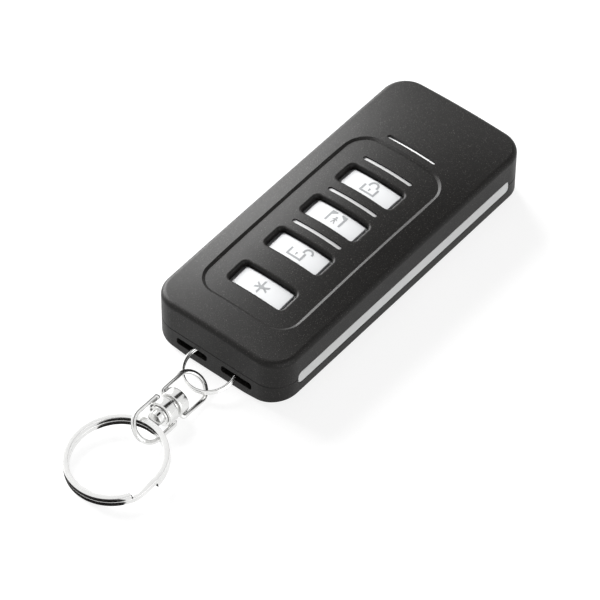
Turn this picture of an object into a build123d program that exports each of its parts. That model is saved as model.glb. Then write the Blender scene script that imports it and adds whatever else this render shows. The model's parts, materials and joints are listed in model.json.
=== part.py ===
from build123d import *
from math import cos, pi, radians, sin, sqrt
import os

# Alarm key fob with a small split ring, a swivel and a key ring.
# Millimetres. The fob lies on its back: +Z is up through the buttons, +Y points away from
# the key rings, +X to the right. The origin is the centre of the flat on the fob's back.

# Housing outline and heights
body_length = 72.0
body_width = 30.0
corner_radius = 5.1
parting_height = 5.3
rim_height = 11.45
crown_rise = 2.5
crown_end_drop = 2.0
rim_round = 1.1
rest_from_side = 8.0
side_rise = 1.2
side_bow = 0.12
base_bevel = 0.6
parting_bevel = 0.12

# Housing walls
side_wall = 1.5
end_wall = 1.4
floor_thickness = 1.4
face_thickness = 1.4

# Sunk panel on the front
panel_width_share = 0.7167
panel_length_share = 0.6653
panel_centre_share = -0.0764
panel_radius = 4.7
panel_depth = 0.37
panel_slope_width = 0.55
panel_slope_drop = 0.33
edge_margin = 0.12

# Buttons, from the lock button at the far end to the star button
button_names = ["lock", "stay", "unlock", "star"]
button_width_share = 0.3647
button_length_share = 0.442
button_pitch_share = 0.1414
first_button_share = 0.1139
button_sink = 1.46
button_round = 0.15
button_corner = 0.3
button_side_gap = 0.73
button_end_gap = 0.3
opening_radius = 1.0
opening_edge_round = 0.5
flange_margin = 0.75
flange_thickness = 0.8
flange_gap = 0.3
button_travel = 0.6
press_gap = 0.1

# Light guides: one beyond the panel, one above each button but the last
guide_names = ["status", "lock", "stay", "unlock"]
guide_past_button = 0.13
guide_width = 0.9
guide_fit = 0.04
guide_sink = 0.3
status_guide_sink = 0.7
guide_before_button_share = 0.4862
status_before_guide_share = 0.6925
guide_flange_margin = 0.5
guide_flange_thickness = 0.8
light_pipe_width = 2.6
light_pipe_length = 1.2

# Side strips, let into both covers along the straight part of each side
strip_height = 2.8
strip_depth = 0.9
strip_below_parting = 1.55
strip_end_gap = 0.35
strip_bevel = 0.22
strip_end_radius = 1.0

# Circuit board and what it carries
board_thickness = 0.8
board_edge_gap = 0.4
board_bottom = 5.5
board_end_gap = 0.4
switch_width = 4.2
switch_length = 3.2
switch_height = 1.5
plunger_radius = 0.8
plunger_height = 0.3
mat_margin = 0.8
mat_gap = 0.1
mat_thickness = 0.5
mat_post = 1.2
mat_nub_radius = 1.6
mat_window_margin = 0.5
led_width = 1.6
led_length = 0.8
led_height = 0.6
chip_width = 5.0
chip_height = 0.9
controller_width = 4.0
crystal_length = 3.2
crystal_width = 2.5
crystal_height = 0.8
board_corner = 3.0
radio_from_guide = 5.0
crystal_x = 5.0
aerial_width = 0.9
aerial_height = 0.3
aerial_span = 40.0
aerial_edge_gap = 1.05
aerial_y = -2.0
rest_post_from_side = 4.5
rest_post_from_end = 8.5
rest_post_radius = 1.2

# Coin cell under the board
cell_diameter = 20.0
cell_height = 3.2
cell_rim_height = 0.5
cell_step = 1.0
cell_edge_round = 0.25
cell_centre_share = 0.1111
well_wall = 0.9
well_gap = 0.3
contact_thickness = 0.3
contact_width = 6.0
contact_past_centre = 5.0

# Screws that hold the covers together, near the far end
screw_from_side = 6.0
screw_from_end = 6.4
screw_radius = 0.85
screw_head_radius = 1.7
screw_head_height = 1.1
screw_slot_width = 0.5
screw_slot_depth = 0.5
screw_length = 7.6
screw_end_gap = 0.3
boss_wall = 1.1
countersink_depth = 0.4

# Ring chamber at the near end
slot_width = 7.05
slot_height = 1.65
slot_mid_height = 3.2
slot_radius = 0.55
post_width = 3.3
post_depth = 2.5
chamber_depth = 4.6
bulkhead_thickness = 0.9

# Small split ring through the slots
fob_ring_diameter = 10.5
fob_ring_wire = 0.6
coil_pitch_share = 0.92
fob_ring_tilt = 13.6
fob_ring_reach = 1.75

# Swivel
swivel_from_end = 12.4
swivel_centre_x = 0.18
swivel_turn = 2.0
swivel_rise = 5.0
upper_roll = 33.5
lower_roll = 42.0
drum_radius = 2.6
drum_length = 2.3
drum_round = 0.3
groove_width = 0.7
loop_wire = 0.9
loop_bend = 0.6
loop_seat_gap = 0.02
loop_foot_inset = 0.52
loop_foot_length = 1.5
upper_loop_length = 6.05
lower_loop_length = 5.85
rivet_radius = 0.85
rivet_fit = 0.06
rivet_head_radius = 1.45
rivet_head_height = 1.1
rivet_flange_radius = 2.0
rivet_flange_height = 0.35
rivet_tail_radius = 1.4
rivet_tail_height = 0.5
rivet_round = 0.25
collar_radius = 1.8
collar_gap = 0.1

# Key split ring: flat wire, two turns
key_ring_diameter = 19.0
key_ring_band = 1.1
key_ring_turn_height = 1.05
key_ring_chamfer = 0.14
key_ring_centre_x = 0.45
key_ring_from_swivel = 14.34
key_ring_pitch_up = 5.2
key_ring_roll_up = 3.1
upper_end_angle = -32.0
lower_end_angle = 1.0
key_ring_steps = 8

# One overrun for every cut
overrun = 1.0
face_overrun_share = 0.2

full_turn = 360.0
half_right = radians(45.0)

# Worked out from the sizes above
half_width = body_width / 2
half_length = body_length / 2
panel_width = body_width * panel_width_share
panel_length = body_length * panel_length_share
panel_centre_y = body_length * panel_centre_share
button_width = body_width * button_width_share
button_pitch = body_length * button_pitch_share
button_length = button_pitch * button_length_share
first_button_y = body_length * first_button_share
guide_length = button_width + 2 * guide_past_button
cell_centre_y = body_length * cell_centre_share
opening_width = button_width + 2 * button_side_gap
opening_length = button_length + 2 * button_end_gap
inner_sink = panel_depth + face_thickness
board_top = board_bottom + board_thickness
bulkhead_y = -half_length + chamber_depth
board_half_width = half_width - side_wall - board_edge_gap
mat_half_width = opening_width / 2 + mat_margin
board_side_x = (board_half_width + mat_half_width) / 2
cell_bottom = floor_thickness + contact_thickness
tall = 2 * rim_height


def button_y(index):
    """Centre of a button along the fob."""
    return first_button_y - index * button_pitch


def guide_y(index):
    """Centre of a light guide along the fob; the first lies beyond the panel."""
    if index == 0:
        return guide_y(1) + button_pitch * status_before_guide_share
    return button_y(index - 1) + button_pitch * guide_before_button_share


def face_height(x, y, sink=0.0):
    """Height of the crowned face, lowered by sink."""
    across = 1 - (x / half_width) ** 2
    along = crown_rise - crown_end_drop * (y / half_length) ** 2
    return rim_height + across * along - sink


def above_face(sink=0.0):
    """Solid over the crowned face, lowered by sink."""
    reach = 1 + face_overrun_share
    across = [1 - reach**2, 1 + reach**2, 1 - reach**2]
    along = [crown_rise - crown_end_drop * reach**2, crown_rise + crown_end_drop * reach**2,
             crown_rise - crown_end_drop * reach**2]
    steps = [-reach, 0, reach]
    net = []
    for step_x, height_x in zip(steps, across):
        row = []
        for step_y, height_y in zip(steps, along):
            row.append((step_x * half_width, step_y * half_length,
                        rim_height - sink + height_x * height_y))
        net.append(row)
    return Solid.extrude(Face.make_bezier_surface(net), Vector(0, 0, tall))


def prism(outline, centre, bottom, top):
    """Upright solid of an outline between two heights."""
    return Pos(centre[0], centre[1], bottom) * extrude(outline, top - bottom)


def housing_plan():
    """Outline of the housing."""
    return RectangleRounded(body_width, body_length, corner_radius)


def inner_plan():
    """Outline of the space inside the walls."""
    return RectangleRounded(body_width - 2 * side_wall, body_length - 2 * end_wall,
                            corner_radius - side_wall)


def strip_space(side):
    """A side strip, or its seat, on one side of the housing."""
    length = body_length - 2 * corner_radius - 2 * strip_end_gap
    middle = parting_height - strip_below_parting + strip_height / 2
    outline = Plane.YZ * RectangleRounded(length, strip_height, strip_end_radius)
    seat = extrude(outline, strip_depth)
    if side > 0:
        return Pos(half_width - strip_depth, 0, middle) * seat
    return Pos(-half_width, 0, middle) * seat


def screw_places():
    """Centres of the two cover screws."""
    x = half_width - screw_from_side
    y = half_length - screw_from_end
    return [(-x, y), (x, y)]


# Front cover

def opening_edges(solid, width, length, centre_y, sink):
    """Top edges of an opening in the panel or in the face round it."""
    found = []
    for edge in solid.edges():
        place = edge.center()
        inside_x = abs(place.X) < width / 2 + edge_margin
        inside_y = abs(place.Y - centre_y) < length / 2 + edge_margin
        level = abs(place.Z - face_height(place.X, place.Y, sink)) < edge_margin
        if inside_x and inside_y and level:
            found.append(edge)
    return found


def make_front_cover():
    """Crowned upper half of the housing."""
    cover = prism(housing_plan(), (0, 0), parting_height, tall) - above_face()
    crown = cover.faces().filter_by(GeomType.BEZIER)[0]
    cover = fillet(crown.edges(), rim_round)
    cover = chamfer(cover.edges().group_by(Axis.Z)[0], parting_bevel)
    cover -= prism(inner_plan(), (0, 0), parting_height - overrun, tall) - above_face(inner_sink)
    panel = RectangleRounded(panel_width - 2 * panel_slope_width, panel_length - 2 * panel_slope_width,
                             panel_radius - panel_slope_width)
    cover -= prism(panel, (0, panel_centre_y), parting_height, tall) & above_face(panel_depth)
    top = cover.faces().filter_by(GeomType.BEZIER).sort_by(Axis.Z)[-1]
    lip = opening_edges(cover, panel_width, panel_length, panel_centre_y, 0)
    cover = chamfer(lip, panel_slope_width, panel_slope_drop, reference=top)
    for index in range(len(button_names)):
        hole = RectangleRounded(opening_width, opening_length, opening_radius)
        cover -= prism(hole, (0, button_y(index)), parting_height, tall)
        rim = opening_edges(cover, opening_width, opening_length, button_y(index), panel_depth)
        cover = fillet(rim, opening_edge_round)
    for index in range(len(guide_names)):
        slot = SlotOverall(guide_length, guide_width)
        cover -= prism(slot, (0, guide_y(index)), parting_height, tall)
    for place in screw_places():
        boss = Circle(screw_radius + boss_wall)
        post = prism(boss, place, board_top, tall) - above_face(inner_sink)
        cover += post
        bore_top = countersink_depth + screw_head_height + screw_length + screw_end_gap
        cover -= prism(Circle(screw_radius), place, board_top - overrun, bore_top)
    wall = Rectangle(body_width - 2 * side_wall, bulkhead_thickness)
    cover += prism(wall, (0, bulkhead_y + bulkhead_thickness / 2), parting_height, tall) - above_face(inner_sink)
    return cover - strip_space(-1) - strip_space(1)


# Back cover

def back_section():
    """Cross section of the back: flat in the middle, rising to each side in a shallow bow."""
    flat = half_width - rest_from_side
    reach = half_width - flat
    chord = sqrt(reach**2 + side_rise**2)
    middle = (flat + reach / 2 + side_bow * side_rise / chord, side_rise / 2 - side_bow * reach / chord)
    lines = Line((-flat, 0), (flat, 0))
    lines += ThreePointArc((flat, 0), middle, (half_width, side_rise))
    lines += Polyline((half_width, side_rise), (half_width, parting_height),
                      (-half_width, parting_height), (-half_width, side_rise))
    lines += ThreePointArc((-half_width, side_rise), (-middle[0], middle[1]), (-flat, 0))
    return Plane.XZ * make_face(lines)


def lower_rim(solid):
    """Outer edges round the foot of the back cover."""
    found = []
    for edge in solid.edges():
        place = edge.center()
        at_end = abs(abs(place.Y) - half_length) < base_bevel
        at_side = abs(abs(place.X) - half_width) < base_bevel
        at_corner = abs(place.X) > half_width - corner_radius and abs(place.Y) > half_length - corner_radius
        if (at_end or at_side or at_corner) and place.Z < side_rise + base_bevel:
            found.append(edge)
    return found


def end_slots():
    """The two slots in the near end wall, one on each side of the post."""
    outline = Plane.XZ * RectangleRounded(slot_width, slot_height, slot_radius)
    slots = []
    for side in (-1, 1):
        centre_x = side * (post_width + slot_width) / 2
        solid = extrude(outline, end_wall, both=True)
        slots.append(Pos(centre_x, -half_length, slot_mid_height) * solid)
    return slots


def make_back_cover():
    """Lower half of the housing, with the ring chamber and the cell's well."""
    blank = extrude(back_section(), half_length, both=True)
    cover = blank & prism(housing_plan(), (0, 0), -overrun, tall)
    cover = chamfer(lower_rim(cover), base_bevel)
    cover = chamfer(cover.edges().group_by(Axis.Z)[-1], parting_bevel)
    cover -= prism(inner_plan(), (0, 0), floor_thickness, tall)
    cover += prism(Rectangle(body_width - 2 * side_wall, bulkhead_thickness),
                   (0, bulkhead_y + bulkhead_thickness / 2), floor_thickness, parting_height)
    post_middle = -half_length + end_wall / 2 + post_depth / 2
    cover += prism(Rectangle(post_width, post_depth - end_wall),
                   (0, post_middle), floor_thickness, parting_height)
    for slot in end_slots():
        cover -= slot
    well = Circle(cell_diameter / 2 + well_gap + well_wall) - Circle(cell_diameter / 2 + well_gap)
    notch = Rectangle(contact_width + 2 * well_gap, cell_diameter + 4 * (well_gap + well_wall))
    cover += prism(well - notch, (0, cell_centre_y), floor_thickness, cell_bottom + cell_height - well_gap)
    for place in screw_places():
        cover += prism(Circle(screw_head_radius + boss_wall), place, floor_thickness, board_bottom)
        cover -= prism(Circle(screw_radius + well_gap), place, -overrun, tall)
        cover -= prism(Circle(screw_head_radius + well_gap / 2), place, -overrun,
                       countersink_depth + screw_head_height)
    for side in (-1, 1):
        place = (side * (half_width - rest_post_from_side), rest_post_from_end - half_length)
        cover += prism(Circle(rest_post_radius), place, floor_thickness, board_bottom)
    return cover - strip_space(-1) - strip_space(1)


# Side strips

def make_strip(side):
    """Light bar let into one side of both covers."""
    bar = strip_space(side)
    outer = bar.faces().sort_by(Axis.X)[-1 if side > 0 else 0]
    return chamfer(outer.edges(), strip_bevel)


# Buttons

def flange_top(index):
    """Top of a button's flange, under the cover at its outermost corner."""
    x = opening_width / 2 + flange_margin
    y = abs(button_y(index)) + opening_length / 2 + flange_margin
    return face_height(x, y, inner_sink) - flange_gap


def make_button(index):
    """Crowned cap with a flange that keeps it under the cover."""
    centre = (0, button_y(index))
    base = flange_top(index) - flange_thickness
    cap = prism(RectangleRounded(button_width, button_length, button_corner), centre, base, tall)
    cap -= above_face(button_sink)
    crown = cap.faces().filter_by(GeomType.BEZIER)[0]
    cap = fillet(crown.edges(), button_round)
    flange = RectangleRounded(opening_width + 2 * flange_margin, opening_length + 2 * flange_margin,
                              opening_radius + flange_margin)
    return cap + prism(flange, centre, base, flange_top(index))


# Light guides

def make_light_guide(index):
    """Bar in a slot of the cover, with a flange under it and a pipe down to its light."""
    centre = (0, guide_y(index))
    sink = status_guide_sink if index == 0 else guide_sink + panel_depth
    bar = SlotOverall(guide_length - 2 * guide_fit, guide_width - 2 * guide_fit)
    flange = Rectangle(guide_length + 2 * guide_flange_margin, guide_width + 2 * guide_flange_margin)
    corner_y = abs(guide_y(index)) + guide_width / 2 + guide_flange_margin
    corner_x = guide_length / 2 + guide_flange_margin
    base = face_height(corner_x, corner_y, inner_sink) - guide_flange_thickness
    guide = prism(bar, centre, base, tall) - above_face(sink)
    guide += prism(flange, centre, base, tall) - above_face(inner_sink)
    pipe = Rectangle(light_pipe_width, light_pipe_length)
    return guide + prism(pipe, centre, board_top + led_height + press_gap, base)


# Circuit board and what it carries

def make_board():
    """Board with holes for the screws."""
    near = bulkhead_y + bulkhead_thickness + board_end_gap
    far = half_length - end_wall - board_end_gap
    outline = RectangleRounded(2 * board_half_width, far - near, board_corner)
    board = prism(outline, (0, (near + far) / 2), board_bottom, board_top)
    for place in screw_places():
        board -= prism(Circle(screw_radius + well_gap), place, board_bottom - overrun, tall)
    return board


def block(width, length, height, centre):
    """Small box that stands on the board."""
    return prism(Rectangle(width, length), centre, board_top, board_top + height)


def make_switch(index):
    """Tact switch with its plunger."""
    centre = (0, button_y(index))
    body = block(switch_width, switch_length, switch_height, centre)
    top = board_top + switch_height
    return body + prism(Circle(plunger_radius), centre, top, top + plunger_height)


def make_led(index):
    """Small surface light under a guide."""
    return block(led_width, led_length, led_height, (0, guide_y(index)))


def make_keypad_mat():
    """Rubber mat over the switches, with a nub under each button."""
    last = len(button_names) - 1
    far = button_y(0) + opening_length / 2 + mat_margin
    near = button_y(last) - opening_length / 2 - mat_margin
    bottom = board_top + switch_height + plunger_height + mat_gap
    top = bottom + mat_thickness
    mat = prism(Rectangle(2 * mat_half_width, far - near), (0, (near + far) / 2), bottom, top)
    for index in range(1, len(guide_names)):
        if near < guide_y(index) < far:
            window = Rectangle(light_pipe_width + 2 * mat_window_margin, light_pipe_length + 2 * mat_window_margin)
            mat -= prism(window, (0, guide_y(index)), bottom - overrun, tall)
    for index in range(len(button_names)):
        nub_top = flange_top(index) - flange_thickness - button_travel - press_gap
        mat += prism(Circle(mat_nub_radius), (0, button_y(index)), bottom, nub_top)
    for x in (-mat_half_width + mat_post / 2, mat_half_width - mat_post / 2):
        for y in (near + mat_post / 2, far - mat_post / 2):
            mat += prism(Rectangle(mat_post, mat_post), (x, y), board_top, top)
    return mat


def make_aerial():
    """Flat copper loop along the left edge of the board."""
    depth = board_half_width - mat_half_width - 2 * aerial_edge_gap
    loop = Rectangle(depth, aerial_span)
    loop -= Rectangle(depth - 2 * aerial_width, aerial_span - 2 * aerial_width)
    return prism(loop, (-board_side_x, aerial_y), board_top, board_top + aerial_height)


# Coin cell and its contacts

def make_cell():
    """Coin cell with a stepped lower cap."""
    centre = (0, cell_centre_y)
    can = prism(Circle(cell_diameter / 2), centre, cell_bottom + cell_rim_height, cell_bottom + cell_height)
    cap = prism(Circle(cell_diameter / 2 - cell_step), centre, cell_bottom, cell_bottom + cell_rim_height)
    return fillet((can + cap).edges().filter_by(GeomType.CIRCLE).sort_by(Axis.Z)[-1], cell_edge_round)


def make_contact(upper):
    """Strip against one side of the cell, with a leg up to the board."""
    leg_y = cell_diameter / 2 + 2 * well_gap + well_wall
    tip_y = -contact_past_centre
    bottom = cell_bottom + cell_height if upper else floor_thickness
    side = 1 if upper else -1
    length = leg_y + contact_thickness - tip_y
    centre = (0, cell_centre_y + side * (tip_y + length / 2))
    strip = prism(Rectangle(contact_width, length), centre, bottom, bottom + contact_thickness)
    leg_centre = (0, cell_centre_y + side * (leg_y + contact_thickness / 2))
    leg = prism(Rectangle(contact_width, contact_thickness), leg_centre, bottom, board_bottom)
    return strip + leg


# Screws

def make_cover_screws():
    """The two screws that hold the covers together, as one piece of two solids."""
    screws = []
    for place in screw_places():
        head_top = countersink_depth + screw_head_height
        head = prism(Circle(screw_head_radius), place, countersink_depth, head_top)
        shaft = prism(Circle(screw_radius), place, head_top, head_top + screw_length)
        across = prism(Rectangle(2 * screw_head_radius, screw_slot_width), place,
                       countersink_depth - overrun, countersink_depth + screw_slot_depth)
        along = prism(Rectangle(screw_slot_width, 2 * screw_head_radius), place,
                      countersink_depth - overrun, countersink_depth + screw_slot_depth)
        screws.append(head + shaft - across - along)
    return Compound(children=screws)


# Small split ring

def make_fob_ring():
    """Two coils of round wire round the post, drooping from the slots."""
    tilt = radians(fob_ring_tilt)
    centre = (0, -half_length + end_wall / 2 - fob_ring_reach * cos(tilt),
              slot_mid_height - fob_ring_reach * sin(tilt))
    plane = Plane(origin=centre, x_dir=(1, 0, 0), z_dir=(0, -sin(tilt), cos(tilt)))
    coil = Torus(fob_ring_diameter / 2 - fob_ring_wire / 2, fob_ring_wire / 2)
    step = coil_pitch_share * fob_ring_wire / 2
    return plane * (Pos(0, 0, step) * coil + Pos(0, 0, -step) * coil)


# Swivel

def swivel_axis():
    """Direction of the swivel, from the fob towards the key ring."""
    turn = radians(swivel_turn)
    rise = radians(swivel_rise)
    return Vector(sin(turn) * cos(rise), -cos(turn) * cos(rise), sin(rise))


def swivel_centre():
    """Middle of the groove between the drums; the upper drum's rim rests on the table."""
    rise = radians(swivel_rise)
    rim = groove_width / 2 + drum_length - drum_round
    height = (drum_radius - drum_round) * cos(rise) + rim * sin(rise) + drum_round
    return Vector(swivel_centre_x, -half_length - swivel_from_end, height)


def loop_plane(roll, towards):
    """Plane of a wire loop: x along its feet, y away from the groove."""
    axis = swivel_axis()
    side = axis.cross(Vector(0, 0, 1)).normalized()
    lift = side.cross(axis)
    across = side * cos(radians(roll)) + lift * sin(radians(roll))
    return Plane(origin=swivel_centre(), x_dir=across, z_dir=across.cross(axis * towards))


def loop_path(reach):
    """Centre line of a wire loop, from one foot round to the other."""
    leg = drum_radius + loop_wire / 2 + loop_seat_gap
    foot = groove_width / 2 + loop_foot_inset
    corner = loop_bend * (1 - cos(half_right))
    path = []
    for side in (-1, 1):
        path.append(Line((side * (leg - loop_foot_length), foot), (side * (leg - loop_bend), foot)))
        path.append(ThreePointArc((side * (leg - loop_bend), foot),
                                  (side * (leg - corner), foot + corner),
                                  (side * leg, foot + loop_bend)))
        path.append(Line((side * leg, foot + loop_bend), (side * leg, reach)))
    path.append(ThreePointArc((-leg, reach), (0, reach + leg), (leg, reach)))
    return Wire(path)


def make_loop(roll, towards, reach, gap=0.0):
    """Bent wire loop whose feet turn into the drum; gap widens it for the drum's holes."""
    path = loop_path(reach)
    start = path @ 0
    heading = path % 0
    wire = sweep(Plane(origin=start, z_dir=heading) * Circle(loop_wire / 2 + gap), path)
    return loop_plane(roll, towards) * wire


def along_axis(towards):
    """Plane across the swivel's axis, looking away from the groove."""
    return Plane(origin=swivel_centre(), z_dir=swivel_axis() * towards)


def turned(plane, radius, bottom, top):
    """Round piece on the swivel's axis between two distances from the groove."""
    return plane * (Pos(0, 0, bottom) * extrude(Circle(radius), top - bottom))


def make_drum(roll, towards, reach, bore):
    """Short drum with a bore for the rivet and two holes for a loop's feet."""
    plane = along_axis(towards)
    face = groove_width / 2
    drum = turned(plane, drum_radius, face, face + drum_length)
    drum = fillet(drum.edges().filter_by(GeomType.CIRCLE), drum_round)
    drum -= turned(plane, bore, face - overrun, face + drum_length + overrun)
    return drum - make_loop(roll, towards, reach, loop_seat_gap)


def make_upper_drum():
    """Drum on the fob's side, with the collar that fills the groove."""
    drum = make_drum(upper_roll, -1, upper_loop_length, rivet_radius)
    plane = along_axis(-1)
    collar = turned(plane, collar_radius, collar_gap - groove_width / 2, groove_width / 2)
    collar -= turned(plane, rivet_radius, -overrun, overrun)
    return drum + collar


def make_rivet():
    """Rivet through both drums, with a stepped head on the key ring's side."""
    face = groove_width / 2 + drum_length
    tail = turned(along_axis(-1), rivet_tail_radius, face, face + rivet_tail_height)
    shaft = turned(along_axis(-1), rivet_radius, -face - collar_gap, face)
    flange_bottom = face + collar_gap
    flange_top_at = flange_bottom + rivet_flange_height
    flange = turned(along_axis(1), rivet_flange_radius, flange_bottom, flange_top_at)
    head = turned(along_axis(1), rivet_head_radius, flange_top_at, flange_top_at + rivet_head_height)
    far_edge = head.edges().filter_by(GeomType.CIRCLE).sort_by(Axis.Y)[0]
    return tail + shaft + flange + fillet(far_edge, rivet_round)


# Key split ring

def key_ring_plane():
    """Plane of the ring's lower face; its far side rests on the table."""
    pitch = radians(key_ring_pitch_up)
    roll = radians(key_ring_roll_up)
    normal = Vector(-sin(roll), -sin(pitch) * cos(roll), cos(pitch) * cos(roll))
    lift = key_ring_diameter / 2 * sqrt(1 - normal.Z**2)
    centre = (key_ring_centre_x, -half_length - swivel_from_end - key_ring_from_swivel, lift)
    return Plane(origin=centre, x_dir=(cos(roll), 0, sin(roll)), z_dir=normal)


def key_ring_section(angle, bottom):
    """Section of the flat wire at an angle round the ring."""
    band = Rectangle(key_ring_band, key_ring_turn_height)
    band = chamfer(band.vertices(), key_ring_chamfer)
    middle = key_ring_diameter / 2 - key_ring_band / 2
    return Rot(0, 0, angle) * (Plane.XZ * (Pos(middle, bottom + key_ring_turn_height / 2) * band))


def make_key_ring():
    """Two turns of flat wire, joined by a step from the lower turn up to the upper one."""
    span = lower_end_angle - upper_end_angle
    ring = None
    for bottom in (0, key_ring_turn_height):
        turn = revolve(key_ring_section(lower_end_angle, bottom), Axis.Z, full_turn - span)
        ring = turn if ring is None else ring + turn
    sections = []
    for step in range(key_ring_steps + 1):
        share = step / key_ring_steps
        smooth = (1 - cos(pi * share)) / 2
        sections.append(key_ring_section(upper_end_angle + share * span, smooth * key_ring_turn_height))
    return key_ring_plane() * (ring + loft(sections, ruled=True))


def pieces():
    """Each piece under its name."""
    found = {"front_cover": make_front_cover(), "back_cover": make_back_cover()}
    found["side_strip_left"] = make_strip(-1)
    found["side_strip_right"] = make_strip(1)
    for index, name in enumerate(button_names):
        found["button_" + name] = make_button(index)
        found["switch_" + name] = make_switch(index)
    for index, name in enumerate(guide_names):
        found["light_guide_" + name] = make_light_guide(index)
        found["led_" + name] = make_led(index)
    found["keypad_mat"] = make_keypad_mat()
    found["circuit_board"] = make_board()
    radio_y = guide_y(0) + radio_from_guide
    found["radio_chip"] = block(chip_width, chip_width, chip_height, (0, radio_y))
    found["controller_chip"] = block(controller_width, controller_width, chip_height,
                                     (board_side_x, button_y(len(button_names) - 1)))
    found["crystal"] = block(crystal_length, crystal_width, crystal_height, (crystal_x, radio_y))
    found["aerial_loop"] = make_aerial()
    found["coin_cell"] = make_cell()
    found["contact_positive"] = make_contact(True)
    found["contact_negative"] = make_contact(False)
    found["cover_screws"] = make_cover_screws()
    found["fob_ring"] = make_fob_ring()
    found["swivel_upper_loop"] = make_loop(upper_roll, -1, upper_loop_length)
    found["swivel_upper_drum"] = make_upper_drum()
    found["swivel_rivet"] = make_rivet()
    found["swivel_lower_drum"] = make_drum(lower_roll, 1, lower_loop_length, rivet_radius + rivet_fit)
    found["swivel_lower_loop"] = make_loop(lower_roll, 1, lower_loop_length)
    found["key_ring"] = make_key_ring()
    return found


def main():
    """Writes one file for each piece."""
    os.makedirs("parts", exist_ok=True)
    for name, piece in pieces().items():
        export_step(piece, "parts/" + name + ".step")


main()
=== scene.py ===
"""Alarm key fob on a split ring, a swivel and a key ring, shown lying on a pale table."""

import json
import logging
import math
from dataclasses import dataclass
from enum import Enum

import bmesh
import bpy
from mathutils import Matrix, Vector

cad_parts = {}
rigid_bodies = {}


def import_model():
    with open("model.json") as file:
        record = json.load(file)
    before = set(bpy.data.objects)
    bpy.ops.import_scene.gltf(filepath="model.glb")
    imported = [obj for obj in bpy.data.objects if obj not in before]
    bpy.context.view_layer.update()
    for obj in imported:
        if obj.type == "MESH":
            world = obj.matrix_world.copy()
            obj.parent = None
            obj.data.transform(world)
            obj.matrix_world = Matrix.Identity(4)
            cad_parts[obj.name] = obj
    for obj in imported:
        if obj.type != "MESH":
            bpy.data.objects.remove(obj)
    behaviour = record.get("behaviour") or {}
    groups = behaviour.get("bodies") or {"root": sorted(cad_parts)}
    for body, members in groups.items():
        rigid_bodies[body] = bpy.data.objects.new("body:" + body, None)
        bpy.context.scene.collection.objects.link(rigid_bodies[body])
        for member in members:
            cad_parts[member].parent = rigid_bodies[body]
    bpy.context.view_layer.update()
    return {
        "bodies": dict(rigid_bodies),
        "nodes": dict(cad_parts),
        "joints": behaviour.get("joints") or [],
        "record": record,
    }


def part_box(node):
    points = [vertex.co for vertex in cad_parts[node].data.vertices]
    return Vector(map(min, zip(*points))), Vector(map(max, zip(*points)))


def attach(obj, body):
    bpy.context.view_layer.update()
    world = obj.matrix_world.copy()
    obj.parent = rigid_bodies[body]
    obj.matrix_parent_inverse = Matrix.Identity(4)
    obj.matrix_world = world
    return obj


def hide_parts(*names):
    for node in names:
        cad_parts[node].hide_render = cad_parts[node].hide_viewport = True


LOG = logging.getLogger("fob_scene")
MM = 0.001
SMOOTH_ANGLE = math.radians(35.0)
FULL_TURN = 360.0
BRUSH_STRETCH = (1.0, 9.0, 1.0)
SCRATCH_STRETCH = (1.0, 14.0, 3.0)


class Body(str, Enum):
    """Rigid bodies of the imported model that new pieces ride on."""

    LOCK = "lock_button"
    STAY = "stay_button"
    UNLOCK = "unlock_button"
    STAR = "star_button"
    SMALL_RING = "small_ring"
    UPPER_SWIVEL = "upper_swivel"
    LOWER_SWIVEL = "lower_swivel"
    KEYS = "keys_ring"


class Pattern(Enum):
    """How a surface was made, which sets the pattern of its grain."""

    MOULDED = "noise"
    POLISHED = "fine scratches"
    BRUSHED = "stretched noise"


def linear(code: str) -> tuple:
    """Turns an sRGB hex colour into linear values.

    Args:
        code: Six hex digits.

    Returns:
        Red, green, blue and alpha.
    """
    values = []
    for start in (0, 2, 4):
        share = int(code[start:start + 2], 16) / 255
        values.append(share / 12.92 if share <= 0.04045 else ((share + 0.055) / 1.055) ** 2.4)
    return (*values, 1.0)


def add_node(tree: bpy.types.NodeTree, kind: str, settings: dict, links: dict) -> bpy.types.Node:
    """Adds a node with its settings and links.

    Args:
        tree: Node tree.
        kind: Name of the node type, without its prefix.
        settings: Values of properties, or of inputs where no property has that name.
        links: Output sockets by the name or number of the input that they feed.

    Returns:
        The node.
    """
    node = tree.nodes.new("ShaderNode" + kind)
    for name, value in settings.items():
        if isinstance(name, str) and hasattr(node, name):
            setattr(node, name, value)
        else:
            node.inputs[name].default_value = value
    for name, socket in links.items():
        tree.links.new(socket, node.inputs[name])
    return node


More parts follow.
